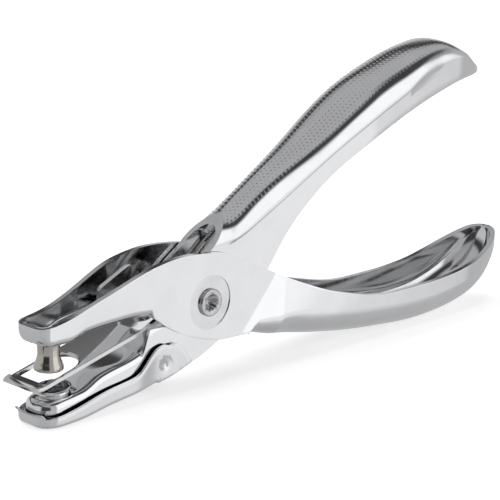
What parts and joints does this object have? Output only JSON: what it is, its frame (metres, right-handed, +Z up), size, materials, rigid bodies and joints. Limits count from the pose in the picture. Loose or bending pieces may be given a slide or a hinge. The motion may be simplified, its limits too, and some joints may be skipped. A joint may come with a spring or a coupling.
{
  "type": "single hole punch",
  "caption": "Hand-held single hole punch: crossed chrome levers on a rivet, round cutting pin, die with stripper plate, return spring and a swing-down chip tray.",
  "frame": {"origin": "centre of the bounding box on the table, below the pivot's middle plane", "axes": "+X from the jaws to the handles, +Y across the punch along the pivot's axis, +Z up from the table"},
  "size_m": [0.1549, 0.0168, 0.0665],
  "materials": {
    "chrome": "bright chrome plating on pressed steel sheet",
    "die_steel": "hardened steel, plated",
    "nickel": "turned steel, warm nickel plating",
    "spring_steel": "bright drawn spring wire"
  },
  "bodies": {
    "punch_half": {"punch_lever": "chrome", "punch_pin": "nickel", "pivot_rivet": "nickel", "torsion_spring": "spring_steel"},
    "die_half": {"die_lever": "chrome", "die_ring": "die_steel", "stripper_plate": "chrome", "stripper_rivet": "nickel"},
    "tray": {"chip_tray": "chrome"}
  },
  "joints": [
    {"name": "squeeze", "type": "hinge", "parent": "punch_half", "child": "die_half", "pos_m": [-0.02595, 0, 0.0185], "axis": [0, 1, 0], "range_deg": [0, 7.2], "stiffness_Nm_per_rad": 4, "springref_deg": -6.88, "deforming": ["torsion_spring"]},
    {"name": "tray_swing", "type": "hinge", "parent": "die_half", "child": "tray", "pos_m": [-0.03805, 0, 0.0069], "axis": [0, -1, 0], "range_deg": [0, 45]}
  ]
}
